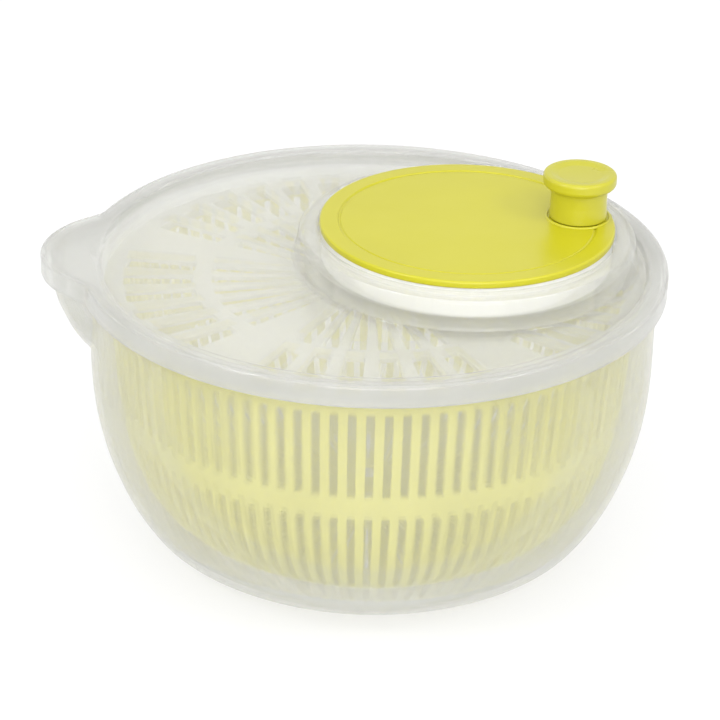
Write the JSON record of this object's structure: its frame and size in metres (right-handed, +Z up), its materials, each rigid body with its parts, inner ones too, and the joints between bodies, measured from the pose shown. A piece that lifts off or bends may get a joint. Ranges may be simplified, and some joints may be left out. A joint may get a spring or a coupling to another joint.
{
  "type": "salad spinner",
  "caption": "Round salad spinner: frosted bowl with pouring spout, slotted basket, inner cover, lid with an off-centre crank disc and knob that turns the basket by gears.",
  "frame": {"origin": "centre of the bowl's flat rest disc, on the basket's axis", "axes": "+Z up along the basket's axis; the crank boss lies toward +X and the pouring spout points to -X; Y is across"},
  "size_m": [0.24, 0.2246, 0.15],
  "materials": {
    "bowl": "frosted clear polypropylene, satin",
    "pivot_pin": "turned steel pin",
    "pivot_cup": "natural acetal",
    "basket": "translucent yellow polypropylene",
    "basket_cover": "frosted clear polypropylene, satin",
    "drive_socket": "natural acetal",
    "lid": "frosted clear polypropylene, satin",
    "pinion_bush": "natural acetal",
    "crank_bush": "natural acetal",
    "drive_pinion": "natural acetal",
    "drive_dog": "natural acetal",
    "dog_washer": "plain washer",
    "dog_screw": "cross recess screw",
    "crank_disc": "lime polypropylene, satin",
    "ring_gear": "natural acetal",
    "ring_gear_screw_1": "cross recess screw",
    "ring_gear_screw_2": "cross recess screw",
    "ring_gear_screw_3": "cross recess screw",
    "crank_washer": "plain washer",
    "crank_screw": "cross recess screw",
    "knob": "lime polypropylene, satin",
    "knob_washer": "plain washer",
    "knob_screw": "cross recess screw"
  },
  "bodies": {
    "bowl": {"bowl": "bowl", "pivot_pin": "pivot_pin"},
    "pivot": {"pivot_cup": "pivot_cup"},
    "basket": {"basket": "basket"},
    "cover": {"basket_cover": "basket_cover", "drive_socket": "drive_socket"},
    "lid": {"lid": "lid", "pinion_bush": "pinion_bush", "crank_bush": "crank_bush"},
    "pinion": {"drive_pinion": "drive_pinion", "drive_dog": "drive_dog", "dog_washer": "dog_washer", "dog_screw": "dog_screw"},
    "crank": {"crank_disc": "crank_disc", "ring_gear": "ring_gear", "ring_gear_screw_1": "ring_gear_screw_1", "ring_gear_screw_2": "ring_gear_screw_2", "ring_gear_screw_3": "ring_gear_screw_3", "crank_washer": "crank_washer", "crank_screw": "crank_screw"},
    "knob": {"knob": "knob", "knob_washer": "knob_washer", "knob_screw": "knob_screw"}
  },
  "joints": [
    {"name": "basket_spin", "type": "hinge", "parent": "bowl", "child": "pivot", "pos_m": [0, 0, 0.015], "axis": [0, 0, 1], "continuous": true},
    {"name": "basket_lift", "type": "slide", "parent": "pivot", "child": "basket", "axis": [0, 0, 1], "range_m": [0, 0.115]},
    {"name": "cover_lift", "type": "slide", "parent": "basket", "child": "cover", "axis": [0, 0, 1], "range_m": [0, 0.085]},
    {"name": "lid_lift", "type": "slide", "parent": "bowl", "child": "lid", "axis": [0, 0, 1], "range_m": [0, 0.3]},
    {"name": "crank_spin", "type": "hinge", "parent": "lid", "child": "crank", "pos_m": [0.0351, 0, 0.12], "axis": [0, 0, 1], "continuous": true},
    {"name": "pinion_spin", "type": "hinge", "parent": "lid", "child": "pinion", "pos_m": [0, 0, 0.12], "axis": [0, 0, 1], "continuous": true},
    {"name": "knob_spin", "type": "hinge", "parent": "crank", "child": "knob", "pos_m": [0.07752, 0.00702, 0.135], "axis": [0, 0, 1], "continuous": true}
  ],
  "couplings": [
    {"joint": "crank_spin", "follows": "basket_spin", "ratio": 0.30769},
    {"joint": "pinion_spin", "follows": "basket_spin", "ratio": 1},
    {"joint": "basket_lift", "follows": "lid_lift", "ratio": 0.38},
    {"joint": "cover_lift", "follows": "lid_lift", "ratio": 0.28}
  ]
}
